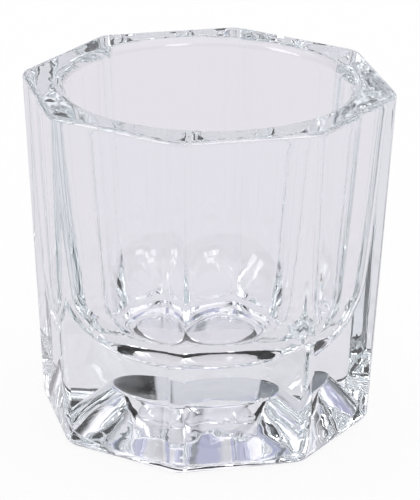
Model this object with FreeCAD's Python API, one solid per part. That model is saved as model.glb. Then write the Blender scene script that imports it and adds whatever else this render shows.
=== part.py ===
import FreeCAD, Part
import math
import os

# A small octagonal cup of clear pressed glass, the kind that holds liquid on a nail table.
# It is one piece: a tapering eight-sided block with a round bowl pressed into its top and
# a shallow cone-walled recess pressed into its underside, which leaves a flat foot ring.
# Millimetres. +Z is up, the origin is the middle of the foot, and a flat faces each axis.

# Driving dimensions of the outside
CUP_HEIGHT = 30.3
RIM_ACROSS_FLATS = 30.0
FOOT_ACROSS_FLATS = 26.75
SIDE_COUNT = 8
UPRIGHT_EDGE_RADIUS = 1.75
RIM_OUTER_RADIUS = 0.45
FOOT_OUTER_RADIUS = 1.1

# Driving dimensions of the bowl, with its walls measured at the middle of a flat
BASE_THICKNESS = 7.6
WALL_AT_RIM = 2.8
WALL_AT_FLOOR = 4.0
BOWL_CORNER_RADIUS = 5.8
LIP_CHAMFER = 0.6

# Driving dimensions of the recess under the foot
FOOT_RING_WIDTH = 3.2
RECESS_DEPTH = 4.3
RECESS_WALL_RUN = 4.8
RECESS_CORNER_RADIUS = 0.6

NODE_NAME = "glass_cup"


def flat_distance(height):
    """Distance from the axis to the middle of a flat at this height."""
    share = height / CUP_HEIGHT
    return (FOOT_ACROSS_FLATS + (RIM_ACROSS_FLATS - FOOT_ACROSS_FLATS) * share) / 2.0


def outline_corners(height):
    """Corners of the sharp outline at this height, a flat facing each axis."""
    half_turn = math.pi / SIDE_COUNT
    corner_distance = flat_distance(height) / math.cos(half_turn)
    corners = []
    for side in range(SIDE_COUNT):
        angle = 2.0 * math.pi * side / SIDE_COUNT + half_turn
        corners.append(FreeCAD.Vector(corner_distance * math.cos(angle),
                                      corner_distance * math.sin(angle), height))
    return corners


def flat_face(corners):
    return Part.Face(Part.makePolygon(corners + corners[:1]))


def sharp_block():
    """The tapering eight-sided block, all of plane faces, before its edges are rounded."""
    low = outline_corners(0.0)
    high = outline_corners(CUP_HEIGHT)
    sides = []
    for side in range(SIDE_COUNT):
        following = (side + 1) % SIDE_COUNT
        sides.append(flat_face([low[side], low[following], high[following], high[side]]))
    return Part.Solid(Part.Shell(sides + [flat_face(low), flat_face(high)]))


def spans_height(edge):
    return edge.BoundBox.ZLength > CUP_HEIGHT / 2.0


def lies_at(edge, height):
    box = edge.BoundBox
    return box.ZLength < 1e-6 and abs(box.ZMin - height) < 1e-6


def outer_block():
    """The tapering block with its upright, rim and foot edges rounded."""
    block = sharp_block()
    block = block.makeFillet(UPRIGHT_EDGE_RADIUS, [e for e in block.Edges if spans_height(e)])
    block = block.makeFillet(RIM_OUTER_RADIUS, [e for e in block.Edges if lies_at(e, CUP_HEIGHT)])
    return block.makeFillet(FOOT_OUTER_RADIUS, [e for e in block.Edges if lies_at(e, 0.0)])


def rounded_profile(points, radii):
    """Wire in the XZ plane through the points, with an arc of the given radius at each corner."""
    edges = []
    start = points[0]
    for before, corner, after, radius in zip(points, points[1:], points[2:], radii):
        to_before = (before - corner).normalize()
        to_after = (after - corner).normalize()
        half_angle = to_before.getAngle(to_after) / 2.0
        setback = radius / math.tan(half_angle)
        centre = corner + (to_before + to_after).normalize() * (radius / math.sin(half_angle))
        middle = centre + (corner - centre).normalize() * radius
        arc_start = corner + to_before * setback
        arc_end = corner + to_after * setback
        edges.append(Part.makeLine(start, arc_start))
        edges.append(Part.Arc(arc_start, middle, arc_end).toShape())
        start = arc_end
    edges.append(Part.makeLine(start, points[-1]))
    return edges


def turned_solid(edges, axis_low, axis_high):
    """Solid of revolution about Z of a profile that is closed by a stretch of the axis."""
    closing = Part.makeLine(axis_high, axis_low)
    face = Part.Face(Part.Wire(Part.__sortEdges__(edges + [closing])))
    return face.revolve(FreeCAD.Vector(0, 0, 0), FreeCAD.Vector(0, 0, 1), 360)


def bowl_plug():
    """The shape of the round bowl, open over the rim, with its lip chamfered."""
    mouth_radius = flat_distance(CUP_HEIGHT) - WALL_AT_RIM
    floor_radius = flat_distance(BASE_THICKNESS) - WALL_AT_FLOOR
    over_rim = CUP_HEIGHT + WALL_AT_RIM
    points = [FreeCAD.Vector(0, 0, BASE_THICKNESS),
              FreeCAD.Vector(floor_radius, 0, BASE_THICKNESS),
              FreeCAD.Vector(mouth_radius, 0, CUP_HEIGHT - LIP_CHAMFER)]
    edges = rounded_profile(points, [BOWL_CORNER_RADIUS])
    rim_corner = FreeCAD.Vector(mouth_radius + LIP_CHAMFER, 0, CUP_HEIGHT)
    top_corner = FreeCAD.Vector(mouth_radius + LIP_CHAMFER, 0, over_rim)
    top_centre = FreeCAD.Vector(0, 0, over_rim)
    edges += [Part.makeLine(points[-1], rim_corner), Part.makeLine(rim_corner, top_corner),
              Part.makeLine(top_corner, top_centre)]
    return turned_solid(edges, points[0], top_centre)


def recess_plug():
    """The shape of the cone-walled recess, carried on under the foot, its top corner rounded."""
    mouth_radius = flat_distance(0.0) - FOOT_RING_WIDTH
    top_radius = mouth_radius - RECESS_WALL_RUN
    points = [FreeCAD.Vector(0, 0, RECESS_DEPTH),
              FreeCAD.Vector(top_radius, 0, RECESS_DEPTH),
              FreeCAD.Vector(mouth_radius, 0, 0)]
    edges = rounded_profile(points, [RECESS_CORNER_RADIUS])
    low_corner = FreeCAD.Vector(mouth_radius, 0, -RECESS_DEPTH)
    low_centre = FreeCAD.Vector(0, 0, -RECESS_DEPTH)
    edges += [Part.makeLine(points[-1], low_corner), Part.makeLine(low_corner, low_centre)]
    return turned_solid(edges, low_centre, points[0])


def glass_cup():
    return outer_block().cut(bowl_plug()).cut(recess_plug())


os.makedirs("parts", exist_ok=True)
cup = glass_cup()
cup.exportStep("parts/" + NODE_NAME + ".step")
print(NODE_NAME, "valid", cup.isValid(), "solids", len(cup.Solids), "volume mm3", round(cup.Volume, 1),
      "height", round(cup.BoundBox.ZLength, 3), "width", round(cup.BoundBox.XLength, 3))
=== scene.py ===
"""Pressed clear glass cup with eight flat sides, a round bowl and a hollow foot."""

import math

import bmesh
import bpy
from mathutils import Matrix, Quaternion, Vector


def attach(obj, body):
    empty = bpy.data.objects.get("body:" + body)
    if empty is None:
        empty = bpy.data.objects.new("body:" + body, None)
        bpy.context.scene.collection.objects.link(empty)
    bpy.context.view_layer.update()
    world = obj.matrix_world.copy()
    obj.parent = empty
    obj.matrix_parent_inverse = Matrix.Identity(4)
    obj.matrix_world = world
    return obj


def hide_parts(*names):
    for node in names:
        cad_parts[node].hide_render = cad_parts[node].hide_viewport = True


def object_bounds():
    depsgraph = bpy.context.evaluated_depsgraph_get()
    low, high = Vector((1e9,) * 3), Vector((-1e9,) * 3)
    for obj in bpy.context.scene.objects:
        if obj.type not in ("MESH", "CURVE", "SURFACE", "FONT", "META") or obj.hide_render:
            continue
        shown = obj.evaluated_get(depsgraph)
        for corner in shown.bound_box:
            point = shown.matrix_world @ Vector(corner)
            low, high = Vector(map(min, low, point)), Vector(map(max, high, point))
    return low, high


bl_info = {
    "name": "Pressed Glass Cup",
    "version": (1, 0, 0),
    "blender": (4, 5, 0),
    "location": "View3D > Sidebar > Glass Cup",
    "description": "Models a small eight-sided pressed glass cup and its studio",
    "category": "Add Mesh",
}

MM = 0.001
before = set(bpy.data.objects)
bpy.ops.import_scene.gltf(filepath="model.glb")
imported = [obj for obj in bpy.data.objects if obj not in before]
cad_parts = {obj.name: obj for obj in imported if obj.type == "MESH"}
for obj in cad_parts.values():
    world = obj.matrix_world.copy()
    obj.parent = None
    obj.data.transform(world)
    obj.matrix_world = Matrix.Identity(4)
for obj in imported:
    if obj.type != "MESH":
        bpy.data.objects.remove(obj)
CAD_LOW, CAD_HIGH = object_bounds()
CUP_HEIGHT = CAD_HIGH.z - CAD_LOW.z
SIDES = 8

# Mesh detail
SUPPORT = 0.05 * MM
WELD = 1e-7
LEVEL = 1e-6
STEPS_ROUND = 160
UPRIGHT_STEPS = 12
EDGE_STEPS = 8
BOWL_CORNER_STEPS = 20
LIP_STEPS = 10
BOWL_WALL_CUTS = 24
FLOOR_CUTS = 10
SWELL_CLEARS_FLOOR = 0.3 * MM
SWELL_CLEARS_RIM = 0.8 * MM
CROWN_REACH = 0.3 * MM


# Sizes and finishes

class CupSizes(bpy.types.PropertyGroup):
    """Sizes of the glass, in metres."""

    rim_width: bpy.props.FloatProperty(
        name="Rim Width", description="Rim across its flats, before its edge is rounded",
        default=30.0 * MM, unit="LENGTH", precision=5)
    foot_width: bpy.props.FloatProperty(
        name="Foot Width", description="Foot across its flats, before its edge is rounded",
        default=26.77 * MM, unit="LENGTH", precision=5)
    upright_radius: bpy.props.FloatProperty(
        name="Upright Edge", description="Radius of the eight upright edges",
        default=1.75 * MM, unit="LENGTH", precision=5)
    rim_radius: bpy.props.FloatProperty(
        name="Rim Edge", description="Radius of the outer edge of the rim",
        default=0.45 * MM, unit="LENGTH", precision=5)
    foot_radius: bpy.props.FloatProperty(
        name="Foot Edge", description="Radius of the outer edge of the foot",
        default=1.1 * MM, unit="LENGTH", precision=5)
    mouth_radius: bpy.props.FloatProperty(
        name="Mouth", description="Radius of the bowl at the rim, before the lip is rounded",
        default=12.15 * MM, unit="LENGTH", precision=5)
    lip_radius: bpy.props.FloatProperty(
        name="Lip", description="Radius of the inner edge of the rim",
        default=1.0 * MM, unit="LENGTH", precision=5)
    bowl_floor_radius: bpy.props.FloatProperty(
        name="Bowl Floor", description="Radius where the bowl wall would meet its floor",
        default=9.65 * MM, unit="LENGTH", precision=5)
    bowl_corner: bpy.props.FloatProperty(
        name="Bowl Corner", description="Radius between the bowl's wall and floor",
        default=5.8 * MM, unit="LENGTH", precision=5)
    bowl_floor_height: bpy.props.FloatProperty(
        name="Bowl Floor Height", description="Height of the bowl's floor over the table",
        default=7.61 * MM, unit="LENGTH", precision=5)
    bowl_swell: bpy.props.FloatProperty(
        name="Bowl Swell", description="How far the bowl's wall swells at mid height",
        default=0.23 * MM, unit="LENGTH", precision=5)
    recess_radius: bpy.props.FloatProperty(
        name="Recess Mouth", description="Radius of the recess at the foot",
        default=10.2 * MM, unit="LENGTH", precision=5)
    recess_height: bpy.props.FloatProperty(
        name="Recess Height", description="Depth of the recess in the foot",
        default=4.21 * MM, unit="LENGTH", precision=5)
    recess_top: bpy.props.FloatProperty(
        name="Recess Top", description="Radius of the recess at its top",
        default=5.4 * MM, unit="LENGTH", precision=5)
    recess_corner: bpy.props.FloatProperty(
        name="Recess Corner", description="Radius round the top of the recess",
        default=0.6 * MM, unit="LENGTH", precision=5)
    recess_lip: bpy.props.FloatProperty(
        name="Recess Lip", description="Radius round the mouth of the recess",
        default=0.3 * MM, unit="LENGTH", precision=5)
    recess_crown: bpy.props.FloatProperty(
        name="Recess Crown", description="Rise of the recess's top at its centre",
        default=0.2 * MM, unit="LENGTH", precision=5)


class GlassFinish(bpy.types.PropertyGroup):
    """Colour and gloss of the glass."""

    tint: bpy.props.FloatVectorProperty(
        name="Tint", description="Colour of light that passes the surface",
        subtype="COLOR", size=4, min=0.0, max=1.0, default=(0.985, 0.985, 1.0, 1.0))
    depth_colour: bpy.props.FloatVectorProperty(
        name="Depth Colour", description="Colour that thick glass takes on",
        subtype="COLOR", size=4, min=0.0, max=1.0, default=(0.78, 0.89, 0.9, 1.0))
    depth_density: bpy.props.FloatProperty(
        name="Depth Density", description="How fast thick glass takes on its colour, per metre",
        default=9.0, min=0.0)
    refraction: bpy.props.FloatProperty(
        name="Refractive Index", description="Refractive index of soda-lime glass",
        default=1.52, min=1.0, max=2.0)
    waviness: bpy.props.FloatProperty(
        name="Waviness", description="Height of the slow waves that pressing leaves",
        default=0.012 * MM, unit="LENGTH", precision=6)
    ripple: bpy.props.FloatProperty(
        name="Ripple", description="Height of the small ripple along the rim and round the foot",
        default=0.045 * MM, unit="LENGTH", precision=6)
    pit_depth: bpy.props.FloatProperty(
        name="Pit Depth", description="Depth of the small pits along the rim and the foot",
        default=0.02 * MM, unit="LENGTH", precision=6)


class StudioLook(bpy.types.PropertyGroup):
    """Colours of the floor and the surroundings."""

    floor_colour: bpy.props.FloatVectorProperty(
        name="Floor", description="Colour of the floor", subtype="COLOR", size=4,
        min=0.0, max=1.0, default=(0.96, 0.96, 0.96, 1.0))
    floor_in_glass: bpy.props.FloatVectorProperty(
        name="Floor in Glass", description="Colour of the floor as it shows through the glass",
        subtype="COLOR", size=4, min=0.0, max=1.0, default=(0.785, 0.762, 0.804, 1.0))
    floor_size: bpy.props.FloatProperty(
        name="Floor Size", description="Width of the floor",
        default=6.0, unit="LENGTH")
    light_level: bpy.props.FloatProperty(
        name="Light Level", description="Strength of the even light from all round",
        default=1.0, min=0.0, max=2.0)


# Mesh helpers

def wire(bm, points):
    """Joins (radius, height) points to one line in the XZ plane."""
    verts = [bm.verts.new((r, 0.0, z)) for r, z in points]
    for a, b in zip(verts, verts[1:]):
        bm.edges.new((a, b))
    return verts


def round_corner(bm, vert, radius, steps):
    """Rounds one corner of a line with a true arc of the given radius."""
    a, b = (e.other_vert(vert).co - vert.co for e in vert.link_edges)
    reach = radius / math.tan(a.angle(b) / 2)
    made = bmesh.ops.bevel(
        bm, geom=[vert], offset=reach, offset_type="OFFSET", segments=steps, profile=0.5,
        affect="VERTICES", clamp_overlap=False, material=-1)
    return made["verts"]


def draw_in_end(bm):
    """Draws the outer end of a line in to a narrow flat beside its last corner."""
    end = max(bm.verts, key=lambda v: v.co.x)
    neighbour = end.link_edges[0].other_vert(end)
    end.co.x = neighbour.co.x + SUPPORT


def turn(bm):
    """Spins the line in bm once round the Z axis."""
    bmesh.ops.spin(
        bm, geom=bm.verts[:] + bm.edges[:], cent=(0, 0, 0), axis=(0, 0, 1), dvec=(0, 0, 0),
        angle=math.tau, steps=STEPS_ROUND, use_merge=True, use_duplicate=False)
    bmesh.ops.remove_doubles(bm, verts=bm.verts[:], dist=WELD)


def flat_faces(bm, up):
    """The faces that look straight up (1) or straight down (-1)."""
    bm.normal_update()
    return [f for f in bm.faces if f.normal.z * up > 0.9999]


def rim_loop(bm, height):
    """The open edges that lie at one height."""
    return [e for e in bm.edges if e.is_boundary
            and all(abs(v.co.z - height) < LEVEL for v in e.verts)]


# The glass

def outer_shell(sizes):
    """The eight-sided outside, its upright, rim and foot edges rounded, its ends open."""
    bm = bmesh.new()
    widen = 1.0 / math.cos(math.pi / SIDES)
    bmesh.ops.create_cone(
        bm, cap_ends=True, cap_tris=False, segments=SIDES,
        radius1=sizes.foot_width / 2 * widen, radius2=sizes.rim_width / 2 * widen,
        depth=CUP_HEIGHT,
        matrix=Matrix.Translation((0, 0, CUP_HEIGHT / 2)) @ Matrix.Rotation(math.pi / SIDES, 4, "Z"))
    upright = [e for e in bm.edges if abs(e.verts[0].co.z - e.verts[1].co.z) > CUP_HEIGHT / 2]
    bmesh.ops.bevel(
        bm, geom=upright, offset=sizes.upright_radius * math.tan(math.pi / SIDES),
        offset_type="OFFSET", segments=UPRIGHT_STEPS, profile=0.5, affect="EDGES", clamp_overlap=False,
        material=-1)
    bm.normal_update()
    for height, radius, up in ((CUP_HEIGHT, sizes.rim_radius, 1), (0.0, sizes.foot_radius, -1)):
        end = flat_faces(bm, up)[0]
        side = [f for f in end.edges[0].link_faces if f is not end][0]
        corner = math.pi - end.normal.angle(side.normal)
        bmesh.ops.bevel(
            bm, geom=list(end.edges), offset=radius / math.tan(corner / 2), offset_type="OFFSET",
            segments=EDGE_STEPS, profile=0.5, affect="EDGES", clamp_overlap=False, material=-1)
    bm.normal_update()
    flats = sorted(bm.faces, key=lambda f: f.calc_area())[-SIDES - 2:]
    flats = [f for f in flats if abs(f.normal.z) < 0.5]
    bmesh.ops.inset_individual(bm, faces=flats, thickness=SUPPORT)
    for up in (1, -1):
        end = flat_faces(bm, up)
        bmesh.ops.inset_region(bm, faces=end, thickness=SUPPORT, use_even_offset=True)
        bm.normal_update()
        inner = max((f for f in flat_faces(bm, up)), key=lambda f: f.calc_area())
        bmesh.ops.delete(bm, geom=[inner], context="FACES_ONLY")
    return bm


def turned_bowl(sizes):
    """The bowl's inside, from a support ring on the rim down to the centre of its floor."""
    bm = bmesh.new()
    low = sizes.bowl_floor_height
    lip_run = sizes.mouth_radius + 2 * sizes.lip_radius
    line = wire(bm, [(0, low), (sizes.bowl_floor_radius, low),
                     (sizes.mouth_radius, CUP_HEIGHT), (lip_run, CUP_HEIGHT)])
    round_corner(bm, line[1], sizes.bowl_corner, BOWL_CORNER_STEPS)
    round_corner(bm, line[2], sizes.lip_radius, LIP_STEPS)
    floor_edge, wall_edge = sorted(bm.edges, key=lambda e: e.calc_length())[-2:]
    bmesh.ops.subdivide_edges(bm, edges=[wall_edge], cuts=BOWL_WALL_CUTS)
    bmesh.ops.subdivide_edges(bm, edges=[floor_edge], cuts=FLOOR_CUTS)
    for v in bm.verts:
        if low + SWELL_CLEARS_FLOOR < v.co.z < CUP_HEIGHT - SWELL_CLEARS_RIM:
            share = (v.co.z - low) / (CUP_HEIGHT - low)
            v.co.x += sizes.bowl_swell * 4 * share * (1 - share)
    draw_in_end(bm)
    turn(bm)
    return bm


def turned_recess(sizes):
    """The hollow under the foot, from the centre of its top out to a support ring."""
    bm = bmesh.new()
    line = wire(bm, [(0, sizes.recess_height), (sizes.recess_top, sizes.recess_height),
                     (sizes.recess_radius, 0.0), (sizes.recess_radius + 2 * sizes.recess_lip, 0.0)])
    round_corner(bm, line[1], sizes.recess_corner, EDGE_STEPS)
    round_corner(bm, line[2], sizes.recess_lip, EDGE_STEPS)
    long_edges = sorted(bm.edges, key=lambda e: e.calc_length())[-2:]
    bmesh.ops.subdivide_edges(bm, edges=long_edges, cuts=FLOOR_CUTS)
    for v in bm.verts:
        r, z = v.co.x, v.co.z
        if z > sizes.recess_height - CROWN_REACH and r < sizes.recess_top:
            v.co.z += sizes.recess_crown * (1 - (r / sizes.recess_top) ** 2)
    draw_in_end(bm)
    turn(bm)
    return bm


def press_glass(sizes):
    """Joins the outside, the bowl and the recess into one closed glass."""
    bm = outer_shell(sizes)
    for part in (turned_bowl(sizes), turned_recess(sizes)):
        mesh = bpy.data.meshes.new("turned")
        part.to_mesh(mesh)
        part.free()
        bm.from_mesh(mesh)
        bpy.data.meshes.remove(mesh)
    for height in (CUP_HEIGHT, 0.0):
        bmesh.ops.triangle_fill(bm, edges=rim_loop(bm, height), use_beauty=True)
    bmesh.ops.remove_doubles(bm, verts=bm.verts[:], dist=WELD)
    bmesh.ops.recalc_face_normals(bm, faces=bm.faces[:])
    return bm


def finish_piece(bm, name, material):
    """Makes an object at the origin from bm and gives it its material."""
    for face in bm.faces:
        face.smooth = True
    open_edges = sum(1 for e in bm.edges if not e.is_manifold)
    mesh = bpy.data.meshes.new(name)
    bm.to_mesh(mesh)
    bm.free()
    mesh.materials.append(material)
    piece = bpy.data.objects.new(name, mesh)
    bpy.context.scene.collection.objects.link(piece)
    print(name, "faces", len(mesh.polygons), "open edges", open_edges)
    return piece


def link(tree, source, target):
    tree.links.new(source, target)


def math_node(tree, kind, first, second=None):
    node = tree.nodes.new("ShaderNodeMath")
    node.operation = kind
    for socket, value in zip(node.inputs, (first, second)):
        if value is None:
            continue
        if isinstance(value, (int, float)):
            socket.default_value = value
        else:
            link(tree, value, socket)
    return node.outputs[0]


def noise(tree, where, scale, detail):
    """Smooth noise from 0 to 1 on object coordinates, scale in waves a metre."""
    node = tree.nodes.new("ShaderNodeTexNoise")
    node.inputs["Scale"].default_value = scale
    node.inputs["Detail"].default_value = detail
    link(tree, where.outputs["Object"], node.inputs["Vector"])
    return node.outputs["Fac"]


def ramp(tree, value, low, high):
    """0 at low, 1 at high and smooth between them."""
    node = tree.nodes.new("ShaderNodeMapRange")
    node.interpolation_type = "SMOOTHSTEP"
    link(tree, value, node.inputs["Value"])
    node.inputs["From Min"].default_value = low
    node.inputs["From Max"].default_value = high
    return node.outputs["Result"]


# Marks of the mould: heights in metres and noise scales in waves a metre
RIM_MARKS_FROM = CUP_HEIGHT - 1.4 * MM
RIM_MARKS_FULL = CUP_HEIGHT - 0.5 * MM
FOOT_MARKS_FROM = 5.5 * MM
FOOT_MARKS_FULL = 2.5 * MM
WAVE_SCALE = 160.0
RIPPLE_SCALE = 450.0
PIT_SCALE = 420.0
PIT_EDGE = 0.16
PIT_MIDDLE = 0.04
RIPPLE_ON_FLATS = 0.2
RIPPLE_MORE_AT_CLOSING = 0.8
RIPPLE_MORE_AT_RIM = 0.8


def pressed_relief(tree, finish):
    """Height of the surface's marks in metres: slow waves all over, and a small ripple with
    pits where the mould closed, along the rim and round the foot."""
    where = tree.nodes.new("ShaderNodeTexCoord")
    axes = tree.nodes.new("ShaderNodeSeparateXYZ")
    link(tree, where.outputs["Object"], axes.inputs["Vector"])
    at_rim = ramp(tree, axes.outputs["Z"], RIM_MARKS_FROM, RIM_MARKS_FULL)
    at_foot = ramp(tree, axes.outputs["Z"], FOOT_MARKS_FROM, FOOT_MARKS_FULL)
    closing = math_node(tree, "MAXIMUM", at_rim, at_foot)
    waves = math_node(tree, "MULTIPLY", noise(tree, where, WAVE_SCALE, 2.0), finish.waviness)
    ripple = math_node(tree, "MULTIPLY", noise(tree, where, RIPPLE_SCALE, 1.0), finish.ripple)
    more = math_node(tree, "MULTIPLY", closing, RIPPLE_MORE_AT_CLOSING)
    share = math_node(tree, "ADD", RIPPLE_ON_FLATS, more)
    more = math_node(tree, "MULTIPLY", at_rim, RIPPLE_MORE_AT_RIM)
    share = math_node(tree, "ADD", share, more)
    cells = tree.nodes.new("ShaderNodeTexVoronoi")
    cells.inputs["Scale"].default_value = PIT_SCALE
    link(tree, where.outputs["Object"], cells.inputs["Vector"])
    pits = math_node(tree, "MULTIPLY", ramp(tree, cells.outputs["Distance"], PIT_EDGE, PIT_MIDDLE),
                     finish.pit_depth)
    marks = math_node(tree, "SUBTRACT", math_node(tree, "MULTIPLY", ripple, share),
                      math_node(tree, "MULTIPLY", pits, closing))
    return math_node(tree, "ADD", waves, marks)


def clear_glass(finish):
    """Clear soda-lime glass with the slow waves, small ripple and pits of pressing."""
    material = bpy.data.materials.new("clear_pressed_glass")
    material.use_nodes = True
    tree = material.node_tree
    tree.nodes.clear()
    out = tree.nodes.new("ShaderNodeOutputMaterial")
    glass = tree.nodes.new("ShaderNodeBsdfPrincipled")
    glass.inputs["Base Color"].default_value = finish.tint
    glass.inputs["Roughness"].default_value = 0.0
    glass.inputs["IOR"].default_value = finish.refraction
    glass.inputs["Transmission Weight"].default_value = 1.0
    depth = tree.nodes.new("ShaderNodeVolumeAbsorption")
    depth.inputs["Color"].default_value = finish.depth_colour
    depth.inputs["Density"].default_value = finish.depth_density
    bump = tree.nodes.new("ShaderNodeBump")
    bump.inputs["Strength"].default_value = 1.0
    bump.inputs["Distance"].default_value = 1.0
    link(tree, pressed_relief(tree, finish), bump.inputs["Height"])
    link(tree, bump.outputs["Normal"], glass.inputs["Normal"])
    link(tree, glass.outputs["BSDF"], out.inputs["Surface"])
    link(tree, depth.outputs["Volume"], out.inputs["Volume"])
    return material


# The studio

VIEW_TURN = math.radians(-103.42)
VIEW_RISE = math.radians(21.14)
VIEW_DISTANCE = 273.4 * MM
VIEW_ROLL = math.radians(0.64)
VIEW_HEIGHT = 15.31 * MM
LENS = 227.73
SENSOR = 36.0
SHIFT_RIGHT = 0.00728
SHIFT_UP = -0.00736


def aim_camera():
    """Puts the camera a little to the left of a flat, looking down into the bowl."""
    scene = bpy.context.scene
    back = Vector((math.cos(VIEW_RISE) * math.cos(VIEW_TURN),
                   math.cos(VIEW_RISE) * math.sin(VIEW_TURN), math.sin(VIEW_RISE)))
    data = bpy.data.cameras.new("studio_camera")
    camera = bpy.data.objects.new("studio_camera", data)
    scene.collection.objects.link(camera)
    camera.location = Vector((0, 0, VIEW_HEIGHT)) + back * VIEW_DISTANCE
    camera.rotation_mode = "QUATERNION"
    camera.rotation_quaternion = (
        (-back).to_track_quat("-Z", "Y") @ Quaternion((0, 0, 1), VIEW_ROLL))
    data.sensor_width = SENSOR
    data.lens = LENS
    data.shift_x = SHIFT_RIGHT
    data.shift_y = SHIFT_UP
    data.clip_start = 0.001
    data.clip_end = 100.0
    scene.camera = camera


HALF_TURN = 180.0
TO_DEGREES = HALF_TURN / math.pi


def seen_directly(tree):
    """1 for what is seen, also in and through the glass, and 0 for light on a surface."""
    path = tree.nodes.new("ShaderNodeLightPath")
    seen = math_node(tree, "MAXIMUM", path.outputs["Is Camera Ray"], path.outputs["Is Glossy Ray"])
    seen = math_node(tree, "MAXIMUM", seen, path.outputs["Is Transmission Ray"])
    return path, seen


def near(tree, value, centre, half, soft):
    """1 within half of centre and 0 past half and soft, in degrees that wrap round."""
    off = math_node(tree, "SUBTRACT", value, centre)
    off = math_node(tree, "WRAP", off, HALF_TURN)
    off.node.inputs[2].default_value = -HALF_TURN
    return ramp(tree, math_node(tree, "ABSOLUTE", off), half + soft, half)


def mixed(tree, share, first, second):
    """The first colour where share is 0 and the second where it is 1. The Mix node keeps its
    colours in inputs 6 and 7 and output 2."""
    node = tree.nodes.new("ShaderNodeMix")
    node.data_type = "RGBA"
    link(tree, share, node.inputs[0])
    for socket, colour in ((node.inputs[6], first), (node.inputs[7], second)):
        if isinstance(colour, tuple):
            socket.default_value = colour
        else:
            link(tree, colour, socket)
    return node.outputs[2]


FORWARD = math.degrees(VIEW_TURN) + HALF_TURN
ROOM_DARK_BELOW = 26.0
ROOM_BRIGHT_ABOVE = 57.0
ROOM_HORIZON = (0.0, 0.0, 0.0, 1.0)
ROOM_OVERHEAD = (1.16, 1.13, 1.17, 1.0)

# What stands round the cup. Each is placed by its turn to the right of straight ahead and its
# rise over level, and has half a width, half a height and a soft edge, all in degrees.
SURROUNDINGS = (
    # pale wall straight ahead
    {"turn": 0, "wide": 15, "rise": 15, "tall": 20, "soft": 15, "colour": (0.67, 0.665, 0.71, 1.0)},
    # bluer blind over it
    {"turn": -12, "wide": 12, "rise": 50, "tall": 12, "soft": 8, "colour": (0.42, 0.43, 0.6, 1.0)},
    # dark doorway at its left
    {"turn": -35, "wide": 9, "rise": 42, "tall": 22, "soft": 8, "colour": (0.18, 0.2, 0.23, 1.0)},
    # dark corner behind the camera
    {"turn": -155, "wide": 28, "rise": 25, "tall": 18, "soft": 10, "colour": (0.0, 0.0, 0.0, 1.0)},
    # painted highlights: a small bright window at the right and another at the left, which shine only
    # in the glass
    {"turn": 150, "wide": 7, "rise": 40, "tall": 9, "soft": 4, "colour": (5.0, 5.0, 5.0, 1.0)},
    {"turn": -110, "wide": 9, "rise": 34, "tall": 11, "soft": 4, "colour": (5.0, 5.0, 5.0, 1.0)},
)


def light_studio(look):
    """A room that is dark along its horizon and bright overhead, with a few things in it. The glass
    shows this room, and any other surface gets an even light. Its two small windows are painted
    highlights that shine only in the glass."""
    world = bpy.data.worlds.new("studio_room")
    bpy.context.scene.world = world
    world.use_nodes = True
    tree = world.node_tree
    tree.nodes.clear()
    out = tree.nodes.new("ShaderNodeOutputWorld")
    where = tree.nodes.new("ShaderNodeTexCoord")
    turned = tree.nodes.new("ShaderNodeVectorRotate")
    turned.rotation_type = "Z_AXIS"
    turned.inputs["Angle"].default_value = math.radians(90.0 - FORWARD)
    link(tree, where.outputs["Generated"], turned.inputs["Vector"])
    axes = tree.nodes.new("ShaderNodeSeparateXYZ")
    link(tree, turned.outputs["Vector"], axes.inputs["Vector"])
    rise = math_node(tree, "ARCSINE", axes.outputs["Z"])
    rise = math_node(tree, "MULTIPLY", rise, TO_DEGREES)
    spin = math_node(tree, "ARCTAN2", axes.outputs["X"], axes.outputs["Y"])
    spin = math_node(tree, "MULTIPLY", spin, TO_DEGREES)
    overhead = ramp(tree, rise, ROOM_DARK_BELOW, ROOM_BRIGHT_ABOVE)
    colour = mixed(tree, overhead, ROOM_HORIZON, ROOM_OVERHEAD)
    for thing in SURROUNDINGS:
        across = near(tree, spin, thing["turn"], thing["wide"], thing["soft"])
        upright = near(tree, rise, thing["rise"], thing["tall"], thing["soft"])
        patch = math_node(tree, "MULTIPLY", across, upright)
        colour = mixed(tree, patch, colour, thing["colour"])
    room = tree.nodes.new("ShaderNodeBackground")
    link(tree, colour, room.inputs["Color"])
    even = tree.nodes.new("ShaderNodeBackground")
    even.inputs["Color"].default_value = (1, 1, 1, 1)
    even.inputs["Strength"].default_value = look.light_level
    white = tree.nodes.new("ShaderNodeBackground")
    white.inputs["Color"].default_value = (1, 1, 1, 1)
    path, seen = seen_directly(tree)
    first = tree.nodes.new("ShaderNodeMixShader")
    link(tree, seen, first.inputs["Fac"])
    link(tree, even.outputs[0], first.inputs[1])
    link(tree, room.outputs[0], first.inputs[2])
    second = tree.nodes.new("ShaderNodeMixShader")
    link(tree, path.outputs["Is Camera Ray"], second.inputs["Fac"])
    link(tree, first.outputs[0], second.inputs[1])
    link(tree, white.outputs[0], second.inputs[2])
    link(tree, second.outputs[0], out.inputs["Surface"])


# How much of the seen floor is plain white paper. The rest takes the light and the shadow.
PAPER_SHARE = 0.9
FLOOR_DROP = 0.02 * MM


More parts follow.
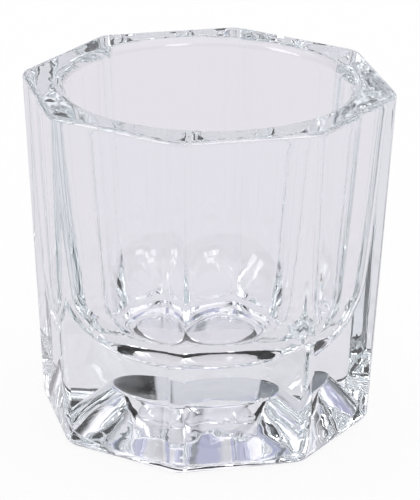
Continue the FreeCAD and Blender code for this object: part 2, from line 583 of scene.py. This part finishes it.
def floor_finish(look):
    """A pale floor that keeps a faint shadow and shows a little dimmer in the glass."""
    material = bpy.data.materials.new("studio_floor")
    material.use_nodes = True
    tree = material.node_tree
    tree.nodes.clear()
    out = tree.nodes.new("ShaderNodeOutputMaterial")
    matt = tree.nodes.new("ShaderNodeBsdfDiffuse")
    matt.inputs["Color"].default_value = look.floor_colour
    white = tree.nodes.new("ShaderNodeEmission")
    white.inputs["Color"].default_value = (1, 1, 1, 1)
    in_glass = tree.nodes.new("ShaderNodeEmission")
    in_glass.inputs["Color"].default_value = look.floor_in_glass
    path, seen = seen_directly(tree)
    paper = tree.nodes.new("ShaderNodeMixShader")
    link(tree, path.outputs["Is Camera Ray"], paper.inputs["Fac"])
    link(tree, in_glass.outputs[0], paper.inputs[1])
    link(tree, white.outputs[0], paper.inputs[2])
    mix = tree.nodes.new("ShaderNodeMixShader")
    link(tree, math_node(tree, "MULTIPLY", seen, PAPER_SHARE), mix.inputs["Fac"])
    link(tree, matt.outputs[0], mix.inputs[1])
    link(tree, paper.outputs[0], mix.inputs[2])
    link(tree, mix.outputs[0], out.inputs["Surface"])
    return material


class GLASSCUP_OT_press_cup(bpy.types.Operator):
    """Model the eight-sided glass with its bowl and its hollow foot"""

    bl_idname = "glasscup.press_cup"
    bl_label = "Press the Cup"

    def execute(self, context):
        scene = context.scene
        bm = press_glass(scene.cup_sizes)
        piece = finish_piece(bm, "pressed_glass_cup", clear_glass(scene.glass_finish))
        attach(piece, "root")
        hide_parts("glass_cup")
        return {"FINISHED"}


class GLASSCUP_OT_set_stage(bpy.types.Operator):
    """Lay the floor, light the room and aim the camera"""

    bl_idname = "glasscup.set_stage"
    bl_label = "Set the Stage"

    def execute(self, context):
        scene = context.scene
        look = scene.studio_look
        bm = bmesh.new()
        bmesh.ops.create_grid(bm, x_segments=1, y_segments=1, size=look.floor_size / 2)
        mesh = bpy.data.meshes.new("studio_floor")
        bm.to_mesh(mesh)
        bm.free()
        mesh.materials.append(floor_finish(look))
        floor = bpy.data.objects.new("studio_floor", mesh)
        scene.collection.objects.link(floor)
        floor.location.z = CAD_LOW.z - FLOOR_DROP
        light_studio(look)
        aim_camera()
        scene.view_settings.view_transform = "Standard"
        scene.cycles.max_bounces = 32
        scene.cycles.transmission_bounces = 32
        scene.cycles.glossy_bounces = 24
        scene.cycles.diffuse_bounces = 4
        scene.cycles.use_denoising = True
        return {"FINISHED"}


class GLASSCUP_PT_panel(bpy.types.Panel):
    """Lists the cup's sizes and its steps"""

    bl_label = "Glass Cup"
    bl_idname = "GLASSCUP_PT_panel"
    bl_space_type = "VIEW_3D"
    bl_region_type = "UI"
    bl_category = "Glass Cup"

    def draw(self, context):
        layout = self.layout
        scene = context.scene
        for group in (scene.cup_sizes, scene.glass_finish, scene.studio_look):
            box = layout.box()
            for name in group.__annotations__:
                box.prop(group, name)
        layout.operator("glasscup.press_cup")
        layout.operator("glasscup.set_stage")


CLASSES = (CupSizes, GlassFinish, StudioLook, GLASSCUP_OT_press_cup, GLASSCUP_OT_set_stage,
           GLASSCUP_PT_panel)


def register():
    for cls in CLASSES:
        bpy.utils.register_class(cls)
    bpy.types.Scene.cup_sizes = bpy.props.PointerProperty(type=CupSizes)
    bpy.types.Scene.glass_finish = bpy.props.PointerProperty(type=GlassFinish)
    bpy.types.Scene.studio_look = bpy.props.PointerProperty(type=StudioLook)


def unregister():
    del bpy.types.Scene.studio_look
    del bpy.types.Scene.glass_finish
    del bpy.types.Scene.cup_sizes
    for cls in reversed(CLASSES):
        bpy.utils.unregister_class(cls)


def main():
    register()
    bpy.ops.glasscup.press_cup()
    bpy.ops.glasscup.set_stage()


if __name__ == "__main__":
    main()
